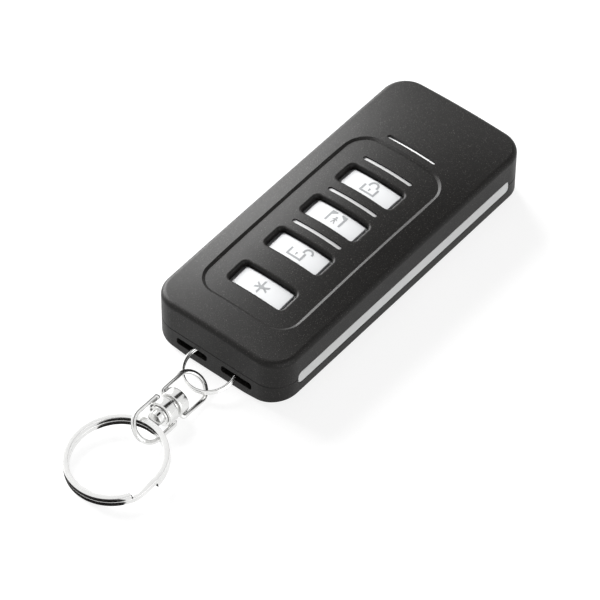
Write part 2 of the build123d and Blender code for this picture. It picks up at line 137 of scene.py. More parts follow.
@dataclass(frozen=True)
class Finish:
    """Look of one real material.

    Attributes:
        name: Name of the material.
        dark: Hex colour of the darker patches.
        light: Hex colour of the lighter patches.
        rough: Roughness in the middle.
        rough_spread: How far roughness goes either way.
        metallic: Share of metal.
        pattern: How the surface was made.
        grain_mm: Size of the fine surface grain.
        grain_depth_mm: Height of the fine surface grain.
        patch_mm: Size of the patches of colour.
        speck: Hex colour of light specks in the grain, if there are any.
        speck_share: Level of the noise over which a speck shows.
        specular: Specular level.
        coat: Weight of a clear coat.
        glow: Strength of a painted glow: light that the surface gives off although no lamp is inside.
    """

    name: str
    dark: str
    light: str
    rough: float
    rough_spread: float = 0.05
    metallic: float = 0.0
    pattern: Pattern = Pattern.MOULDED
    grain_mm: float = 0.2
    grain_depth_mm: float = 0.01
    patch_mm: float = 8.0
    speck: str = ""
    speck_share: float = 0.7
    specular: float = 0.5
    coat: float = 0.0
    glow: float = 0.0

    def build(self) -> bpy.types.Material:
        """Makes the node material, once under its name.

        Returns:
            The material.
        """
        known = bpy.data.materials.get(self.name)
        if known:
            return known
        material = bpy.data.materials.new(self.name)
        material.use_nodes = True
        tree = material.node_tree
        shader = tree.nodes["Principled BSDF"]
        # Emission Strength and Emission Color make a painted glow wherever glow is set
        values = {"Metallic": self.metallic, "Specular IOR Level": self.specular, "Coat Weight": self.coat,
                  "Emission Strength": self.glow, "Emission Color": linear(self.light)}
        for name, value in values.items():
            shader.inputs[name].default_value = value
        place = add_node(tree, "TexCoord", {}, {})
        stretch = BRUSH_STRETCH if self.pattern is Pattern.BRUSHED else (1.0, 1.0, 1.0)
        mapping = add_node(tree, "Mapping", {"Scale": stretch}, {"Vector": place.outputs["Object"]})
        vector = mapping.outputs["Vector"]
        broad = {"Scale": 1 / (self.patch_mm * MM), "Detail": 3.0}
        patches = add_node(tree, "TexNoise", broad, {"Vector": vector})
        fine = {"Scale": 1 / (self.grain_mm * MM), "Detail": 2.0}
        grain = add_node(tree, "TexNoise", fine, {"Vector": vector})
        colour = self._colour(tree, patches, vector)
        tree.links.new(colour, shader.inputs["Base Color"])
        height = self._scratches(tree, vector) if self.pattern is Pattern.POLISHED else grain.outputs["Fac"]
        span = {"To Min": max(0.0, self.rough - self.rough_spread), "To Max": self.rough + self.rough_spread}
        rough = add_node(tree, "MapRange", span, {"Value": grain.outputs["Fac"]})
        tree.links.new(rough.outputs["Result"], shader.inputs["Roughness"])
        bump = add_node(tree, "Bump", {"Distance": self.grain_depth_mm * MM}, {"Height": height})
        tree.links.new(bump.outputs["Normal"], shader.inputs["Normal"])
        return material

    def _colour(self, tree: bpy.types.NodeTree, patches: bpy.types.Node,
                vector: bpy.types.NodeSocket) -> bpy.types.NodeSocket:
        """Mixes the patches and the specks.

        Args:
            tree: Node tree.
            patches: Noise of the patches.
            vector: Place on the piece.

        Returns:
            Socket of the colour.
        """
        base = add_node(tree, "Mix", {"data_type": "RGBA"}, {"Factor": patches.outputs["Fac"]})
        base.inputs["A"].default_value = linear(self.dark)
        base.inputs["B"].default_value = linear(self.light)
        if not self.speck:
            return base.outputs["Result"]
        fine = {"Scale": 1.6 / (self.grain_mm * MM), "Detail": 1.0}
        noise = add_node(tree, "TexNoise", fine, {"Vector": vector})
        edge = {"From Min": self.speck_share, "From Max": self.speck_share + 0.08}
        level = add_node(tree, "MapRange", edge, {"Value": noise.outputs["Fac"]})
        mix = add_node(tree, "Mix", {"data_type": "RGBA"}, {"Factor": level.outputs["Result"]})
        tree.links.new(base.outputs["Result"], mix.inputs["A"])
        mix.inputs["B"].default_value = linear(self.speck)
        return mix.outputs["Result"]

    def _scratches(self, tree: bpy.types.NodeTree, vector: bpy.types.NodeSocket) -> bpy.types.NodeSocket:
        """Crosses two stretched noises, as the hairlines that pocket wear leaves.

        Args:
            tree: Node tree.
            vector: Place on the piece.

        Returns:
            Socket of the height.
        """
        lines = []
        for turn in (0.5, 2.1):
            settings = {"Scale": SCRATCH_STRETCH, "Rotation": (0.3, turn, turn)}
            mapping = add_node(tree, "Mapping", settings, {"Vector": vector})
            fine = {"Scale": 0.5 / (self.grain_mm * MM), "Detail": 2.0}
            lines.append(add_node(tree, "TexNoise", fine, {"Vector": mapping.outputs["Vector"]}))
        feeds = {0: lines[0].outputs["Fac"], 1: lines[1].outputs["Fac"]}
        both = add_node(tree, "Math", {"operation": "MAXIMUM"}, feeds)
        return both.outputs["Value"]


# ABS from a spark-eroded mould: soft, matte charcoal with light specks. The real grain is finer than a
# pixel, so grain and specks are drawn as coarse as they need to show.
HOUSING = Finish("charcoal_textured_abs", "11100f", "151413", 0.46, 0.06, grain_mm=0.26, grain_depth_mm=0.02,
                 speck="494745", speck_share=0.64, specular=0.19)
# ABS from a satin mould: an even light grey that takes a broad sheen
STRIP = Finish("light_grey_satin_abs", "dedfdf", "e4e5e5", 0.42, grain_mm=0.3, grain_depth_mm=0.004)
# Polycarbonate keys: bright white with a faint satin bloom
BUTTON = Finish("white_satin_polycarbonate", "d3d4d5", "d9dadb", 0.36, grain_mm=0.35, grain_depth_mm=0.003)
# Light-scattering acrylic: a milky bar, made brighter by a faint painted glow
GUIDE = Finish("frosted_acrylic_faint_painted_glow", "b4b4b4", "bcbcbc", 0.40, grain_mm=0.3, grain_depth_mm=0.004,
               glow=0.05)
# The same acrylic with a stronger painted glow, which paints its thin white line
STATUS = Finish("frosted_acrylic_painted_glow", "e8e8e8", "f0f0f0", 0.40, grain_mm=0.3, grain_depth_mm=0.004, glow=0.6)
# Pad printing: thin, dull grey ink with slightly uneven cover
SIGN = Finish("grey_pad_print_ink", "8c8e90", "969899", 0.55, grain_mm=0.12, grain_depth_mm=0.002,
              patch_mm=1.0)
# Moulded silicone: soft grey rubber without shine
MAT = Finish("grey_silicone_rubber", "6e7072", "767879", 0.7)
# Solder mask over copper: deep green under a thin gloss
BOARD = Finish("green_solder_mask", "12421f", "174a25", 0.35, coat=0.3)
# Cast epoxy: flat black with a hint of powder
CHIP = Finish("black_epoxy_resin", "151515", "1b1b1b", 0.6)
# Moulded nylon: black with a dull sheen
SWITCH = Finish("black_moulded_nylon", "17181a", "1d1e20", 0.5)
# Cast resin over phosphor: glossy pale yellow
LED = Finish("yellow_phosphor_lens", "d8d0a8", "e6ddb8", 0.2)
# Drawn and brushed steel: grey streaks along one way
CAN = Finish("brushed_crystal_can", "b8b8b8", "c8c8c8", 0.32, metallic=1.0, pattern=Pattern.BRUSHED)
# Etched copper track: warm, slightly streaked metal
COPPER = Finish("bare_etched_copper", "b87345", "c98453", 0.35, metallic=1.0, pattern=Pattern.BRUSHED)
# Stamped steel can: pale metal with handling hairlines
CELL = Finish("stamped_cell_steel", "b9b9b6", "c9c9c6", 0.28, metallic=1.0, pattern=Pattern.POLISHED,
              patch_mm=4.0)
# Spring bronze under nickel: a warmer, rolled grey
CONTACT = Finish("nickel_plated_bronze", "b5b0a4", "c6c1b5", 0.3, metallic=1.0, pattern=Pattern.BRUSHED)
# Zinc-plated steel: dark grey with turning marks
SCREW = Finish("dark_zinc_steel", "6a6a6c", "7c7c7e", 0.34, metallic=1.0, pattern=Pattern.BRUSHED)
# Bright plating over turned steel: mirror bands softened by hairlines, which are drawn coarser than
# real ones so that they show
NICKEL = Finish("bright_nickel_plate", "dcdcdb", "e8e8e7", 0.17, 0.04, metallic=1.0, pattern=Pattern.POLISHED,
                grain_mm=0.4, grain_depth_mm=0.0012, patch_mm=3.0)
# Polished nickel over drawn wire: softer bands along the wire
RING = Finish("polished_nickel_wire", "e2e2e1", "eeeeed", 0.19, 0.04, metallic=1.0, pattern=Pattern.POLISHED,
              grain_mm=0.5, grain_depth_mm=0.001, patch_mm=3.0)

# Matte dark card that only reflections see: a painted dark band in the metal
DARK_REFLECTION_CARD = Finish("painted_dark_reflection", "2b2a29", "302f2e", 0.9, specular=0.0)

NODE_FINISHES = {
    "front_cover": HOUSING, "back_cover": HOUSING, "side_strip": STRIP, "button": BUTTON,
    "light_guide_status": STATUS, "light_guide": GUIDE,
    "keypad_mat": MAT, "circuit_board": BOARD, "controller_chip": CHIP, "radio_chip": CHIP, "crystal": CAN,
    "aerial_loop": COPPER, "coin_cell": CELL, "contact": CONTACT, "cover_screws": SCREW, "switch": SWITCH,
    "led": LED, "fob_ring": RING, "swivel": NICKEL, "key_ring": RING,
}


class Bench:
    """Hand tools that the sub-assemblies share."""

    @staticmethod
    def clear() -> None:
        """Leaves nothing selected."""
        if bpy.context.object and bpy.context.object.mode != "OBJECT":
            bpy.ops.object.mode_set(mode="OBJECT")
        bpy.ops.object.select_all(action="DESELECT")

    @staticmethod
    def edit() -> bpy.types.Object:
        """Opens the new primitive in edit mode with all of it selected.

        Returns:
            The piece that is open.
        """
        bpy.ops.object.mode_set(mode="EDIT")
        bpy.ops.mesh.select_all(action="SELECT")
        return bpy.context.active_object

    @staticmethod
    def pick_edge(piece: bpy.types.Object, near: Vector) -> None:
        """Selects the one edge whose middle is nearest to a place.

        Args:
            piece: Piece open in edit mode.
            near: The place.
        """
        bpy.ops.mesh.select_mode(type="EDGE")
        bpy.ops.mesh.select_all(action="DESELECT")
        mesh = bmesh.from_edit_mesh(piece.data)
        edge = min(mesh.edges, key=lambda one: ((one.verts[0].co + one.verts[1].co) / 2 - near).length)
        edge.select_set(True)
        bmesh.update_edit_mesh(piece.data)

    @staticmethod
    def close() -> bpy.types.Object:
        """Fills the open ends, turns the faces outwards and leaves edit mode.

        Returns:
            The piece.
        """
        bpy.ops.mesh.select_mode(type="VERT")
        bpy.ops.mesh.select_all(action="SELECT")
        bpy.ops.mesh.remove_doubles(threshold=0.002 * MM)
        bpy.ops.mesh.select_all(action="SELECT")
        bpy.ops.mesh.fill_holes(sides=0)
        bpy.ops.mesh.select_all(action="SELECT")
        bpy.ops.mesh.normals_make_consistent(inside=False)
        bpy.ops.object.mode_set(mode="OBJECT")
        return bpy.context.active_object

    @staticmethod
    def round_edges(piece: bpy.types.Object, width_mm: float, segments: int) -> None:
        """Rounds every sharp edge of a piece.

        Args:
            piece: The piece.
            width_mm: Width of the rounding.
            segments: Faces across the rounding.
        """
        modifier = piece.modifiers.new("edge_round", "BEVEL")
        modifier.width = width_mm * MM
        modifier.segments = segments
        modifier.limit_method = "ANGLE"
        modifier.angle_limit = SMOOTH_ANGLE
        bpy.ops.object.modifier_apply(modifier=modifier.name)

    @staticmethod
    def deliver(piece: bpy.types.Object, name: str, finish: Finish, body: Body, slot: str,
                nodes: tuple) -> None:
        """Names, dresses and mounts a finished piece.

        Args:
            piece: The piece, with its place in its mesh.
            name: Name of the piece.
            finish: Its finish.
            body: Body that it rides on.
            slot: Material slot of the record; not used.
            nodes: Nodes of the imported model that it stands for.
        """
        bpy.ops.object.shade_smooth_by_angle(angle=SMOOTH_ANGLE)
        piece.name = name
        piece.data.name = name
        piece.data.materials.clear()
        piece.data.materials.append(finish.build())
        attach(piece, body.value)
        if nodes:
            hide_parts(*nodes)
        LOG.info("%s: %d faces on %s", name, len(piece.data.polygons), body.value)


class Sweep:
    """A section pulled along a path by hand, straight runs and bends in turn."""

    def __init__(self, section: bpy.types.Object) -> None:
        """Takes a section that is open in edit mode, all selected.

        Args:
            section: The section's outline.
        """
        self.section = section

    def run(self, move: Vector) -> "Sweep":
        """Pulls the end straight on.

        Args:
            move: How far, in metres.

        Returns:
            The sweep itself.
        """
        bpy.ops.mesh.extrude_edges_move(TRANSFORM_OT_translate={"value": move})
        return self

    def bend(self, centre: Vector, degrees: float, steps: int, rise: float = 0.0) -> "Sweep":
        """Pulls the end round a centre in the plane of X and Y.

        Args:
            centre: Centre of the bend.
            degrees: Turn, positive from X towards Y.
            steps: Rings in the bend.
            rise: Height gained on the way, as a smooth step.

        Returns:
            The sweep itself.
        """
        turn = -math.radians(degrees)  # spin counts its angle from Y towards X
        if not rise:
            bpy.ops.mesh.spin(steps=steps, angle=turn, center=centre, axis=(0, 0, 1))
            return self
        climbed = 0.0
        for step in range(1, steps + 1):
            bpy.ops.mesh.spin(steps=1, angle=turn / steps, center=centre, axis=(0, 0, 1))
            height = rise * (1 - math.cos(math.pi * step / steps)) / 2
            bpy.ops.transform.translate(value=(0, 0, height - climbed))
            climbed = height
        return self

    @staticmethod
    def round_wire(radius_mm: float, at: Vector, turn: tuple, sides: int) -> "Sweep":
        """Starts a sweep of round wire.

        Args:
            radius_mm: Radius of the wire.
            at: Place of the first section.
            turn: Euler turn of the section.
            sides: Sides of the section.

        Returns:
            The sweep.
        """
        Bench.clear()
        bpy.ops.mesh.primitive_circle_add(vertices=sides, radius=radius_mm * MM, fill_type="NOTHING",
                                          location=at, rotation=turn)
        bpy.ops.object.transform_apply(location=True, rotation=True, scale=True)
        return Sweep(Bench.edit())

    @staticmethod
    def flat_wire(width_mm: float, height_mm: float, corner_mm: float, at: Vector, turn: float) -> "Sweep":
        """Starts a sweep of flat wire whose section stands upright.

        Args:
            width_mm: Width of the wire.
            height_mm: Height of the wire.
            corner_mm: Rounding of its corners.
            at: Middle of the first section.
            turn: Turn of the section about Z; at zero its width lies along X.

        Returns:
            The sweep.
        """
        Bench.clear()
        bpy.ops.mesh.primitive_plane_add(size=1.0, location=at, rotation=(math.pi / 2, 0, turn))
        bpy.context.active_object.scale = (width_mm * MM, height_mm * MM, 1.0)
        bpy.ops.object.transform_apply(location=True, rotation=True, scale=True)
        section = Bench.edit()
        bpy.ops.mesh.delete(type="ONLY_FACE")
        bpy.ops.mesh.select_all(action="SELECT")
        bpy.ops.mesh.bevel(offset=corner_mm * MM, segments=4, affect="VERTICES")
        bpy.ops.mesh.select_all(action="SELECT")
        return Sweep(section)


@dataclass
class FobRing:
    """Small split ring: two coils of round wire through the slots at the near end."""

    diameter_mm: float = 10.5
    wire_mm: float = 0.6
    pitch_share: float = 0.92
    tilt_deg: float = 13.6
    reach_mm: float = 1.75
    step_from_deg: float = 62.0
    step_span_deg: float = 56.0
    rings_per_turn: int = 96
    wire_sides: int = 20
    end_round_mm: float = 0.1

    def frame(self, post: Vector) -> Matrix:
        """Frame of the ring: X to the right, Y towards the post.

        Args:
            post: Middle of the post's wall, in metres.

        Returns:
            Place and turn of the ring.
        """
        tilt = math.radians(self.tilt_deg)
        centre = post - Vector((0, math.cos(tilt), math.sin(tilt))) * self.reach_mm * MM
        return Matrix.Translation(centre) @ Matrix.Rotation(tilt, 4, "X")

    def build(self, post: Vector) -> None:
        """Winds the wire and mounts the ring.

        Args:
            post: Middle of the post's wall, in metres.
        """
        reach = (self.diameter_mm - self.wire_mm) / 2 * MM
        pitch = self.pitch_share * self.wire_mm * MM
        start = math.radians(self.step_from_deg + self.step_span_deg)
        at = Vector((reach * math.cos(start), reach * math.sin(start), -pitch / 2))
        wire = Sweep.round_wire(self.wire_mm / 2, at, (math.pi / 2, 0, start), self.wire_sides)
        turn = FULL_TURN - self.step_span_deg
        steps = round(self.rings_per_turn * turn / FULL_TURN)
        centre = Vector((0, 0, 0))
        wire.bend(centre, turn, steps)
        wire.bend(centre, self.step_span_deg, self.rings_per_turn - steps, pitch)
        wire.bend(centre, turn, steps)
        piece = Bench.close()
        Bench.round_edges(piece, self.end_round_mm, 2)
        piece.data.transform(self.frame(post))
        Bench.deliver(piece, "split_ring_small", RING, Body.SMALL_RING, "ring_steel", ("fob_ring",))


@dataclass
class KeyRing:
    """Key ring: two turns of flat wire, joined by a step up at the free ends."""

    diameter_mm: float = 18.98
    band_mm: float = 1.1
    turn_height_mm: float = 1.05
    corner_mm: float = 0.08
    centre_x_mm: float = 0.45
    from_swivel_mm: float = 14.34
    pitch_deg: float = 5.2
    roll_deg: float = 3.1
    upper_end_deg: float = -32.0
    lower_end_deg: float = 1.0
    rings_per_turn: int = 128
    end_round_mm: float = 0.06

    def frame(self, swivel: Vector) -> Matrix:
        """Frame of the ring's lower face.

        Args:
            swivel: Middle of the swivel, in metres.

        Returns:
            Place and turn of the ring.
        """
        pitch = math.radians(self.pitch_deg)
        roll = math.radians(self.roll_deg)
        level = math.cos(roll)
        normal = Vector((-math.sin(roll), -math.sin(pitch) * level, math.cos(pitch) * level))
        across = Vector((math.cos(roll), 0, math.sin(roll)))
        lift = self.diameter_mm / 2 * math.sqrt(1 - normal.z ** 2) * MM
        place = Vector((self.centre_x_mm * MM, swivel.y - self.from_swivel_mm * MM, lift))
        turn = Matrix((across, normal.cross(across), normal)).transposed().to_4x4()
        return Matrix.Translation(place) @ turn

    def build(self, swivel: Vector) -> None:
        """Winds the flat wire and mounts the ring.

        Args:
            swivel: Middle of the swivel, in metres.
        """
        middle = (self.diameter_mm - self.band_mm) / 2 * MM
        at = Vector((middle, 0, self.turn_height_mm * MM / 2))
        wire = Sweep.flat_wire(self.band_mm, self.turn_height_mm, self.corner_mm, at, 0.0)
        span = self.lower_end_deg - self.upper_end_deg
        turn = FULL_TURN - span
        steps = round(self.rings_per_turn * turn / FULL_TURN)
        centre = Vector((0, 0, 0))
        wire.bend(centre, turn, steps)
        wire.bend(centre, span, self.rings_per_turn - steps, self.turn_height_mm * MM)
        wire.bend(centre, turn, steps)
        piece = Bench.close()
        Bench.round_edges(piece, self.end_round_mm, 2)
        piece.data.transform(self.frame(swivel) @ Matrix.Rotation(math.radians(self.lower_end_deg), 4, "Z"))
        Bench.deliver(piece, "key_ring_wire", RING, Body.KEYS, "key_ring_steel", ("key_ring",))


@dataclass
class Swivel:
    """Swivel: a drum and a wire loop on each side, joined by a rivet.

    Heights are along the swivel's axis from the middle of the groove between the drums.
    """

    drum_radius_mm: float = 2.6
    drum_length_mm: float = 2.3
    drum_round_mm: float = 0.2
    groove_mm: float = 0.7
    collar_radius_mm: float = 1.8
    wire_mm: float = 0.9
    wire_height_mm: float = 0.9
    wire_corner_mm: float = 0.38
    wire_bend_mm: float = 0.6
    seat_gap_mm: float = 0.02
    foot_inset_mm: float = 0.52
    foot_length_mm: float = 1.5
    upper_roll_deg: float = 33.5
    lower_roll_deg: float = 42.0
    upper_reach_mm: float = 6.05
    lower_reach_mm: float = 5.9
    rivet_radius_mm: float = 0.85
    rivet_fit_mm: float = 0.06
    flange_radius_mm: float = 2.0
    flange_height_mm: float = 0.35
    head_radius_mm: float = 1.45
    head_height_mm: float = 1.1
    tail_radius_mm: float = 1.4
    tail_height_mm: float = 0.5
    collar_gap_mm: float = 0.1
    edge_round_mm: float = 0.1
    sides: int = 96
    foot_steps: int = 10
    bight_steps: int = 48

    def loop_frame(self, middle: Vector, axis: Vector, roll_deg: float, towards: int) -> Matrix:
        """Frame of a loop: X along its feet, Y away from the groove.

        Args:
            middle: Middle of the groove.
            axis: Direction from the fob to the key ring.
            roll_deg: Turn of the loop about the axis.
            towards: 1 on the key ring's side, -1 on the fob's side.

        Returns:
            Place and turn of the loop.
        """
        side = axis.cross(Vector((0, 0, 1))).normalized()
        lift = side.cross(axis)
        roll = math.radians(roll_deg)
        across = side * math.cos(roll) + lift * math.sin(roll)
        away = axis * towards
        turn = Matrix((across, away, across.cross(away))).transposed().to_4x4()
        return Matrix.Translation(middle) @ turn

    def axis_frame(self, middle: Vector, axis: Vector, towards: int) -> Matrix:
        """Frame of a turned piece, Z away from the groove.

        Args:
            middle: Middle of the groove.
            axis: Direction from the fob to the key ring.
            towards: 1 on the key ring's side, -1 on the fob's side.

        Returns:
            Place and turn of the piece.
        """
        return Matrix.Translation(middle) @ (axis * towards).to_track_quat("Z", "Y").to_matrix().to_4x4()

    def loop(self, reach_mm: float, frame: Matrix, name: str, body: Body, node: str) -> None:
        """Bends a wire loop and mounts it.

        Args:
            reach_mm: Length of the loop's straight legs from the groove.
            frame: Place and turn of the loop.
            name: Name of the piece.
            body: Body that it rides on.
            node: Node that it stands for.
        """
        leg = self.drum_radius_mm + self.wire_mm / 2 + self.seat_gap_mm
        foot = self.groove_mm / 2 + self.foot_inset_mm
        bend = self.wire_bend_mm
        at = Vector((self.foot_length_mm - leg, foot, 0)) * MM
        wire = Sweep.flat_wire(self.wire_mm, self.wire_height_mm, self.wire_corner_mm, at, math.pi / 2)
        wire.run(Vector((bend - self.foot_length_mm, 0, 0)) * MM)
        wire.bend(Vector((bend - leg, foot + bend, 0)) * MM, -90.0, self.foot_steps)
        wire.run(Vector((0, reach_mm - foot - bend, 0)) * MM)
        wire.bend(Vector((0, reach_mm, 0)) * MM, -180.0, self.bight_steps)
        wire.run(Vector((0, foot + bend - reach_mm, 0)) * MM)
        wire.bend(Vector((leg - bend, foot + bend, 0)) * MM, -90.0, self.foot_steps)
        wire.run(Vector((bend - self.foot_length_mm, 0, 0)) * MM)
        piece = Bench.close()
        piece.data.transform(frame)
        Bench.deliver(piece, name, NICKEL, body, "loop_nickel", (node,))

    def turned(self, profile: list, closed: bool, frame: Matrix) -> bpy.types.Object:
        """Turns a piece from its profile, as on a lathe.

        Args:
            profile: Radius and height of each corner in millimetres.
            closed: Whether the profile goes round a bore and meets itself.
            frame: Place and turn of the piece.

        Returns:
            The piece.
        """
        Bench.clear()
        radius, height = profile[0]
        bpy.ops.mesh.primitive_circle_add(vertices=self.sides, radius=radius * MM, fill_type="NOTHING",
                                          location=(0, 0, height * MM))
        bpy.ops.object.transform_apply(location=True, rotation=True, scale=True)
        Bench.edit()
        corners = profile[1:] + ([profile[0]] if closed else [])
        for next_radius, next_height in corners:
            move = (0, 0, (next_height - height) * MM)
            bpy.ops.mesh.extrude_edges_move(TRANSFORM_OT_translate={"value": move})
            scale = next_radius / radius
            bpy.ops.transform.resize(value=(scale, scale, 1), center_override=(0, 0, next_height * MM))
            radius, height = next_radius, next_height
        piece = Bench.close()
        Bench.round_edges(piece, self.edge_round_mm, 3)
        piece.data.transform(frame)
        return piece

    def drums(self, middle: Vector, axis: Vector) -> None:
        """Turns the two drums.

        Args:
            middle: Middle of the groove.
            axis: Direction from the fob to the key ring.
        """
        low = self.groove_mm / 2
        high = low + self.drum_length_mm
        bore = self.rivet_radius_mm + self.rivet_fit_mm
        foot = self.collar_gap_mm - low
        collar = [(self.rivet_radius_mm, foot), (self.collar_radius_mm, foot), (self.collar_radius_mm, low)]
        corner = self.drum_round_mm
        wall = self.drum_radius_mm
        outer = [(wall - corner, low), (wall, low + corner), (wall, high - corner), (wall - corner, high)]
        upper = self.turned(collar + outer + [(self.rivet_radius_mm, high)], True,
                            self.axis_frame(middle, axis, -1))
        Bench.deliver(upper, "drum_with_collar", NICKEL, Body.UPPER_SWIVEL, "drum_nickel",
                      ("swivel_upper_drum",))
        lower = self.turned([(bore, low)] + outer + [(bore, high)], True, self.axis_frame(middle, axis, 1))
        Bench.deliver(lower, "drum_free", NICKEL, Body.LOWER_SWIVEL, "drum_nickel", ("swivel_lower_drum",))

    def rivet(self, middle: Vector, axis: Vector) -> None:
        """Turns the rivet with its flange and head.

        Args:
            middle: Middle of the groove.
            axis: Direction from the fob to the key ring.
        """
        face = self.groove_mm / 2 + self.drum_length_mm
        seat = face + self.collar_gap_mm
        flange = seat + self.flange_height_mm
        profile = [(self.tail_radius_mm, -face - self.tail_height_mm), (self.tail_radius_mm, -face),
                   (self.rivet_radius_mm, -face), (self.rivet_radius_mm, seat),
                   (self.flange_radius_mm, seat), (self.flange_radius_mm, flange),
                   (self.head_radius_mm, flange), (self.head_radius_mm, flange + self.head_height_mm)]
        piece = self.turned(profile, False, self.axis_frame(middle, axis, 1))
        Bench.deliver(piece, "rivet_with_head", NICKEL, Body.UPPER_SWIVEL, "rivet_nickel", ("swivel_rivet",))

    def build(self, middle: Vector, axis: Vector) -> None:
        """Makes the whole swivel.

        Args:
            middle: Middle of the groove.
            axis: Direction from the fob to the key ring.
        """
        upper = self.loop_frame(middle, axis, self.upper_roll_deg, -1)
        self.loop(self.upper_reach_mm, upper, "wire_loop_fob_side", Body.UPPER_SWIVEL, "swivel_upper_loop")
        lower = self.loop_frame(middle, axis, self.lower_roll_deg, 1)
        self.loop(self.lower_reach_mm, lower, "wire_loop_key_side", Body.LOWER_SWIVEL, "swivel_lower_loop")
        self.drums(middle, axis)
        self.rivet(middle, axis)


@dataclass
class Signs:
    """Printed signs on the four buttons, drawn in millimetres from each button's centre.

    Attributes:
        trunk: Ends and width of the walking figure's trunk; arm and leg are those of its right side.
    """

    line_mm: float = 0.40
    ink_mm: float = 0.025
    ink_gap_mm: float = 0.004
    ink_cuts: int = 3
    padlock_half_mm: float = 1.46
    padlock_bottom_mm: float = -1.2
    padlock_top_mm: float = 0.5
    shackle_radius_mm: float = 0.82
    shackle_centre_mm: float = 0.9
    keyhole_radius_mm: float = 0.19
    keyhole_mm: float = -0.2
    keyhole_slot_mm: tuple = (-0.38, -0.68)
    lock_shackle_x_mm: float = 0.1
    open_body_x_mm: float = -0.4
    open_shackle_x_mm: float = 1.35
    open_leg_mm: float = 0.3
    star_arms: int = 6
    star_arm_mm: float = 1.12
    star_hub_share: float = 1.1
    star_x_mm: float = -0.2
    house_half_mm: float = 1.55
    house_foot_mm: float = -0.95
    house_top_mm: float = 1.8
    house_x_mm: float = -0.1
    corner_mm: tuple = (1.25, 0.9)
    head_mm: float = 0.62
    head_radius_mm: float = 0.2
    trunk: tuple = ((0.0, 0.38), (0.0, -0.2), 0.26)
    arm: tuple = ((0.13, 0.3), (0.48, -0.02), 0.15)
    leg: tuple = ((0.06, -0.22), (0.36, -0.85), 0.17)

    def bar(self, start: tuple, end: tuple, width_mm: float) -> bpy.types.Object:
        """Lays one straight stroke.

        Args:
            start: One end.
            end: Other end.
            width_mm: Width of the stroke.

        Returns:
            The stroke.
        """
        first, last = Vector((*start, 0)) * MM, Vector((*end, 0)) * MM
        way = last - first
        bpy.ops.mesh.primitive_plane_add(size=1.0, location=(first + last) / 2,
                                         rotation=(0, 0, math.atan2(way.y, way.x)))
        stroke = bpy.context.active_object
        stroke.scale = (way.length, width_mm * MM, 1.0)
        bpy.ops.object.transform_apply(location=True, rotation=True, scale=True)
        return stroke

    def arch(self, centre: tuple, radius_mm: float) -> bpy.types.Object:
        """Lays a half ring that opens downwards.

        Args:
            centre: Centre of the ring.
            radius_mm: Radius of its middle line.

        Returns:
            The half ring.
        """
        middle = Vector((*centre, 0)) * MM
        bpy.ops.mesh.primitive_circle_add(vertices=40, radius=(radius_mm + self.line_mm / 2) * MM,
                                          fill_type="NGON", location=middle)
        bpy.ops.object.transform_apply(location=True, rotation=True, scale=True)
        piece = Bench.edit()
        bpy.ops.mesh.inset(thickness=self.line_mm * MM, depth=0.0)
        bpy.ops.mesh.delete(type="FACE")
        bpy.ops.mesh.select_all(action="SELECT")
        bpy.ops.mesh.bisect(plane_co=middle, plane_no=(0, 1, 0), clear_inner=True)
        bpy.ops.object.mode_set(mode="OBJECT")
        return piece

    def disc(self, centre: tuple, radius_mm: float) -> bpy.types.Object:
        """Lays a small round dot.

        Args:
            centre: Centre of the dot.
            radius_mm: Radius.

        Returns:
            The dot.
        """
        bpy.ops.mesh.primitive_circle_add(vertices=16, radius=radius_mm * MM, fill_type="NGON",
                                          location=Vector((*centre, 0)) * MM)
        bpy.ops.object.transform_apply(location=True, rotation=True, scale=True)
        return bpy.context.active_object

    def padlock(self, centre_x: float, shackle_x: float, leg_foot: float) -> list:
        """Draws a padlock with a body open at the top.

        Args:
            centre_x: Middle of the body.
            shackle_x: Middle of the shackle.
            leg_foot: Height at which the shackle's right leg ends.

        Returns:
            The strokes.
        """
        half, low, top = self.padlock_half_mm, self.padlock_bottom_mm, self.padlock_top_mm
        inner = half - self.line_mm / 2
        arch_foot = self.shackle_centre_mm
        radius = self.shackle_radius_mm
        slot_top, slot_foot = self.keyhole_slot_mm
        strokes = [
            self.bar((centre_x - half, low - self.line_mm / 2), (centre_x - half, top), self.line_mm),
            self.bar((centre_x + half, low - self.line_mm / 2), (centre_x + half, top), self.line_mm),
            self.bar((centre_x - inner, low), (centre_x + inner, low), self.line_mm),
            self.arch((shackle_x, arch_foot), radius),
            self.bar((shackle_x - radius, arch_foot), (shackle_x - radius, top), self.line_mm),
            self.bar((shackle_x + radius, arch_foot), (shackle_x + radius, leg_foot), self.line_mm),
            self.disc((centre_x, self.keyhole_mm), self.keyhole_radius_mm),
            self.bar((centre_x, slot_top), (centre_x, slot_foot), self.line_mm / 2),
        ]
        return strokes

    def house(self) -> list:
        """Draws two house walls under roof corners, with a walking figure between them.

        Returns:
            The strokes.
        """
        half, foot, top = self.house_half_mm, self.house_foot_mm, self.house_top_mm
        eaves = top - self.corner_mm[1]
        strokes = []
        for side in (-1, 1):
            strokes.append(self.bar((side * half, foot), (side * half, eaves), self.line_mm))
            strokes.append(self._corner(side, half, top))
        strokes.append(self.disc((0.0, self.head_mm), self.head_radius_mm))
        strokes.append(self.bar(*self.trunk))
        for side in (-1, 1):
            for start, end, width_mm in (self.arm, self.leg):
                strokes.append(self.bar((side * start[0], start[1]), (side * end[0], end[1]), width_mm))
        return strokes

